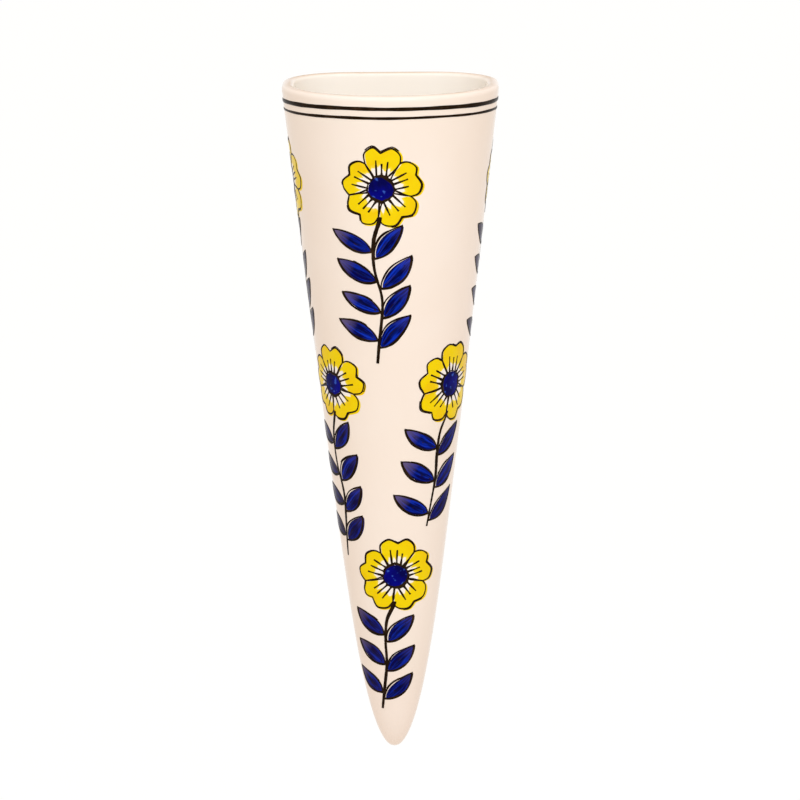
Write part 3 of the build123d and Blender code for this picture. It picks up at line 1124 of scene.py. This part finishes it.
def yellow_material():
    m = new_finish("yellow_enamel")
    grain = m.times(m.math("SUBTRACT", m.noise(420, 2), 0.5), 0.16)
    along = m.math("ADD", m.patch_share("Y"), grain)
    orange = m.ramp(m.noise(110, 2, seed=4), 0.48, 0.72, 0, 0.8)
    yellow = m.mix(orange, YELLOW, YELLOW_ORANGE)
    thin = m.ramp(along, YELLOW_START, YELLOW_START + THIN_LENGTH, 0.5, 0)
    yellow = m.mix(thin, yellow, YELLOW_THIN)
    start = m.ramp(along, YELLOW_START - YELLOW_BORDER, YELLOW_START + YELLOW_BORDER)
    colour = m.mix(start, ROOT_WHITE, yellow)
    brushed = m.bump(m.noise(500, 2, seed=6), 0.15, 0.03 * MM)
    m.set(Base_Color=colour, Roughness=0.18, Normal=brushed, IOR=1.5, Specular_IOR_Level=0.07)
    return m.owner


paint["petals"].data.materials.append(yellow_material())

# %% [markdown]
# ## Blue enamel
# The blue is a wash: nearly black in the middle and at the edge of a leaf, brighter where the brush ran thin,
# grey-violet at the tips. Each leaf has three numbers of its own: `hand` moves its streaks, `wash` says how
# pale its tip is, and the third how much painted shade darkens it, most on leaves towards the sides of the
# pot. A flower's centre is a dab with small light flecks.

# %% Make the blue of the leaves
LEAF_BLUE = linear(1, 3, 78)
LEAF_BRIGHT = linear(12, 52, 196)
LEAF_MIDDLE = linear(2, 2, 32)
LEAF_BORDER = linear(2, 2, 30)
LEAF_TIP = linear(108, 94, 130)
# Painted shade: a dark brownish blue that darkens the leaves towards the sides of the pot.
LEAF_PAINTED_SHADE = linear(46, 30, 36)


def blue_leaf_material():
    m = new_finish("blue_enamel")
    across = m.patch_share("X")
    along = m.patch_share("Y")
    hand = m.attribute("hand")
    moved = m.add("CombineXYZ", {"X": hand, "Y": hand, "Z": hand}).outputs[0]
    moved = m.add("VectorMath", {0: m.add("UVMap").outputs["UV"], 1: moved}, operation="ADD").outputs[0]
    long = m.add("Mapping", {"Vector": moved, "Scale": (3.2, 0.8, 1)}).outputs[0]
    streak = m.add("TexNoise", {"Vector": long, "Scale": 3.0, "Detail": 3.0}).outputs["Fac"]
    bright = m.times(m.ramp(streak, 0.4, 0.62), m.ramp(hand, 0, 1, 0.6, 1))
    blue = m.mix(bright, LEAF_BLUE, LEAF_BRIGHT)
    middle = m.math("ABSOLUTE", m.math("SUBTRACT", across, 0.5))
    aside = m.math("ADD", middle, m.times(m.noise(400, 2), 0.12))
    rib = m.ramp(aside, 0.08, 0.22, 1, 0)
    reach = m.times(m.ramp(along, 0.08, 0.3), m.ramp(along, 0.6, 0.85, 1, 0))
    blue = m.mix(m.times(rib, m.times(reach, 0.8)), blue, LEAF_MIDDLE)
    blue = m.mix(m.ramp(aside, 0.42, 0.54, 0, 0.75), blue, LEAF_BORDER)
    tip = m.times(m.ramp(along, 0.55, 0.9), m.attribute("wash"))
    blue = m.mix(tip, blue, LEAF_TIP)
    # Painted shade: each leaf is darkened by its own number, most towards the sides of the pot.
    blue = m.mix(m.times(m.attribute("side_shade"), 0.75), blue, LEAF_PAINTED_SHADE)
    brushed = m.bump(m.noise(500, 2, seed=6), 0.15, 0.03 * MM)
    m.set(Base_Color=blue, Roughness=0.16, Normal=brushed, IOR=1.5, Specular_IOR_Level=0.02)
    return m.owner


paint["leaves"].data.materials.append(blue_leaf_material())

# %% Make the blue of the centres
CENTRE_BLUE = linear(3, 4, 130)
CENTRE_DARK = linear(2, 2, 78)
CENTRE_FLECK = linear(52, 88, 190)


def blue_centre_material():
    m = new_finish("blue_centre_enamel")
    fleck = m.ramp(m.noise(560, 1), 0.64, 0.74)
    dark = m.ramp(m.noise(150, 2, seed=7), 0.4, 0.6)
    blue = m.mix(fleck, m.mix(dark, CENTRE_BLUE, CENTRE_DARK), CENTRE_FLECK)
    dabbed = m.bump(m.noise(420, 2, seed=6), 0.3, 0.06 * MM)
    m.set(Base_Color=blue, Roughness=0.16, Normal=dabbed, IOR=1.5, Specular_IOR_Level=0.03)
    return m.owner


paint["centres"].data.materials.append(blue_centre_material())

# %% [markdown]
# ## Brown enamel
# The lines are a nearly black brown, a little lighter where the brush ran dry. The bands also have small
# chips, where the glaze shows.

# %% Make the brown
BROWN = linear(30, 17, 5)
BROWN_DRY = linear(74, 54, 36)
BROWN_CHIP = linear(225, 208, 192)


def brown_material(name, worn):
    m = new_finish(name)
    dry = m.ramp(m.noise(260, 3), 0.48, 0.75, 0, 0.5)
    colour = m.mix(dry, BROWN, BROWN_DRY)
    if worn:
        rare = m.ramp(m.noise(30, 1, seed=9), 0.58, 0.66)
        chip = m.times(m.ramp(m.noise(900, 1, seed=3), 0.62, 0.66), rare)
        colour = m.mix(chip, colour, BROWN_CHIP)
    m.set(Base_Color=colour, Roughness=0.25, IOR=1.5, Specular_IOR_Level=0.03)
    return m.owner


line_brown = brown_material("dark_brown_enamel", False)
for kind in ("flower_lines", "stems", "leaf_lines"):
    paint[kind].data.materials.append(line_brown)
band_brown = brown_material("dark_brown_band", True)
for band in bands.values():
    band.data.materials.append(band_brown)

# %% [markdown]
# ## Screw and plug
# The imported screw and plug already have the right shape, so they keep their meshes and only get a finish:
# zinc plate with fine turning marks, and moulded nylon.

# %% Metal and nylon
ZINC_DARK = linear(176, 180, 186)
ZINC_LIGHT = linear(206, 208, 212)
NYLON_DARK = linear(150, 153, 156)
NYLON_LIGHT = linear(164, 166, 168)


def zinc_material():
    m = new_finish("zinc_plated_steel")
    rings = m.add("Mapping", {"Vector": m.coords(), "Scale": (1, 9, 1)}).outputs[0]
    grain = m.noise(420, 3, vector=rings)
    colour = m.mix(m.ramp(grain, 0.3, 0.7), ZINC_DARK, ZINC_LIGHT)
    turned = m.bump(grain, 0.2, 0.02 * MM)
    m.set(Base_Color=colour, Roughness=m.ramp(grain, 0.3, 0.7, 0.24, 0.4), Normal=turned, Metallic=1.0)
    return m.owner


def nylon_material():
    m = new_finish("grey_nylon")
    colour = m.mix(m.ramp(m.noise(180, 2), 0.3, 0.7), NYLON_DARK, NYLON_LIGHT)
    gloss = m.ramp(m.noise(700, 2, seed=2), 0.3, 0.7, 0.42, 0.55)
    m.set(Base_Color=colour, Roughness=gloss, Normal=m.bump(m.noise(1500, 2), 0.15, 0.02 * MM))
    return m.owner


for node, material in (("wall_screw", zinc_material()), ("wall_plug", nylon_material())):
    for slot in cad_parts[node].material_slots:
        slot.material = material
print("materials:", sorted(material.name for material in bpy.data.materials))

# %% [markdown]
# ## What each piece stands for
# Every piece rides on the body that carries it, so it moves with the joints. A piece that replaces a node
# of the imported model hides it, and the hidden node still does the work of collision.

# %% Smooth shading, and what each piece stands for
SMOOTH_ANGLE = math.radians(40)
standing_for = {
    pot: ("vase_body", "cream_glaze"),
    paint["petals"]: ("petals", "yellow_enamel"),
    paint["centres"]: ("flower_centres", "blue_enamel"),
    paint["stems"]: ("stems", "dark_brown_enamel"),
    paint["leaves"]: ("leaves", "blue_enamel"),
    paint["flower_lines"]: (None, "dark_brown_enamel"),
    paint["leaf_lines"]: (None, "dark_brown_enamel"),
    bands["upper_band"]: ("upper_band", "dark_brown_enamel"),
    bands["lower_band"]: ("lower_band", "dark_brown_enamel"),
}
for piece, (node, slot_name) in standing_for.items():
    select_only(piece)
    bpy.ops.object.shade_smooth_by_angle(angle=SMOOTH_ANGLE)
    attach(piece, "vase")
    if node:
        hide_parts(node)
print("pieces on the vase:", len(standing_for))

# %% [markdown]
# ## Floor and background
# The vase hangs clear of a pale floor. The background is plain white: the floor and the world show white to
# the camera and to reflections, and light the vase as a pale floor and a warm room would.

# %% Floor
FLOOR_DROP = 0.12
FLOOR_SIZE = 30
FLOOR_COLOUR = (0.86, 0.8, 0.73, 1)
FLOOR_WHITE = 1.06
FLOOR_WHITE_SHARE = 0.88


def seen_by_eye(m):
    """One where the camera, a reflection or something clear looks, and nought for light on things."""
    path = m.add("LightPath").outputs
    seen = m.math("MAXIMUM", path["Is Camera Ray"], path["Is Glossy Ray"])
    return m.math("MAXIMUM", seen, path["Is Transmission Ray"])


def floor_material():
    m = new_finish("pale_floor")
    m.tree.nodes.clear()
    share = m.times(seen_by_eye(m), FLOOR_WHITE_SHARE)
    plain = m.add("BsdfDiffuse", {"Color": FLOOR_COLOUR}).outputs[0]
    white = m.add("Emission", {"Strength": FLOOR_WHITE}).outputs[0]
    mix = m.add("MixShader", {0: share, 1: plain, 2: white}).outputs[0]
    m.add("OutputMaterial", {"Surface": mix})
    return m.owner


clear_selection()
bpy.ops.mesh.primitive_plane_add(size=FLOOR_SIZE, location=(0, 0, TIP_Z - FLOOR_DROP))
floor = bpy.context.object
floor.name = "floor"
floor.data.materials.append(floor_material())

# %% World
WORLD_LIGHT = 0.75
WORLD_WARMTH = (1.0, 0.917, 0.828, 1.0)
m = Nodes(bpy.data.worlds.new("studio"))
bpy.context.scene.world = m.owner
background = m.tree.nodes["Background"]
seen = seen_by_eye(m)
m.feed(background, "Color", m.mix(seen, WORLD_WARMTH, (1, 1, 1, 1)))
m.feed(background, "Strength", m.ramp(seen, 0, 1, WORLD_LIGHT, 1))

# %% [markdown]
# ## Lamps
# A soft lamp stands to the right, a weaker one to the left, and a third lights the mouth. The world is warm
# and the two front lamps are cool, so the round front is whiter in its middle than at its edges, as in the
# photograph.

# %% Lamps
COOL_LAMP = (0.62, 0.84, 1.0)
WHITE_LAMP = (1.0, 0.93, 0.92)
vase_middle = (0, -0.02, TIP_Z + VASE_HEIGHT / 2)
mouth_middle = (0, -0.03, TIP_Z + VASE_HEIGHT)
LAMPS = (
    ("key", (0.42, -1.3, 0.75), vase_middle, (0.5, 0.7), 4.5, COOL_LAMP),
    ("fill", (-0.45, -1.3, 0.45), vase_middle, (0.5, 0.6), 2.3, COOL_LAMP),
    ("top", (0.1, -0.6, 0.75), mouth_middle, (0.8, 0.5), 2.7, WHITE_LAMP),
)


def soft_lamp(name, place, target, size, power, colour):
    lamp = bpy.data.lights.new(name, "AREA")
    lamp.shape = "RECTANGLE"
    lamp.size, lamp.size_y = size
    lamp.energy = power
    lamp.color = colour
    holder = add_object(name, lamp)
    holder.location = place
    holder.rotation_euler = (Vector(target) - Vector(place)).to_track_quat("-Z", "Y").to_euler()


for lamp in LAMPS:
    soft_lamp(*lamp)
print("lamps:", [lamp[0] for lamp in LAMPS])

# %% [markdown]
# ## The camera
# The photograph was taken from a little above the vase, about 1.3 m away, with a long lens. The focal length
# is worked out in pixels of the frame and turned into millimetres.

# %% Camera
FRAME_PIXELS = 800
FOCAL_PIXELS = 3545.0
SENSOR_WIDTH = 36
CAMERA_PLACE = (0.0028, -1.3, 0.1455)
CAMERA_PITCH = 10.373
CAMERA_ROLL = -0.34
camera_data = bpy.data.cameras.new("camera")
camera_data.sensor_width = SENSOR_WIDTH
camera_data.lens = FOCAL_PIXELS * SENSOR_WIDTH / FRAME_PIXELS
camera = add_object("camera", camera_data)
camera.location = CAMERA_PLACE
pitch = Matrix.Rotation(math.radians(90 - CAMERA_PITCH), 4, "X")
tilt = pitch @ Matrix.Rotation(math.radians(CAMERA_ROLL), 4, "Z")
camera.rotation_euler = tilt.to_euler()
bpy.context.scene.camera = camera
bpy.context.scene.view_settings.view_transform = "Standard"
print("lens in mm:", round(camera_data.lens, 1))
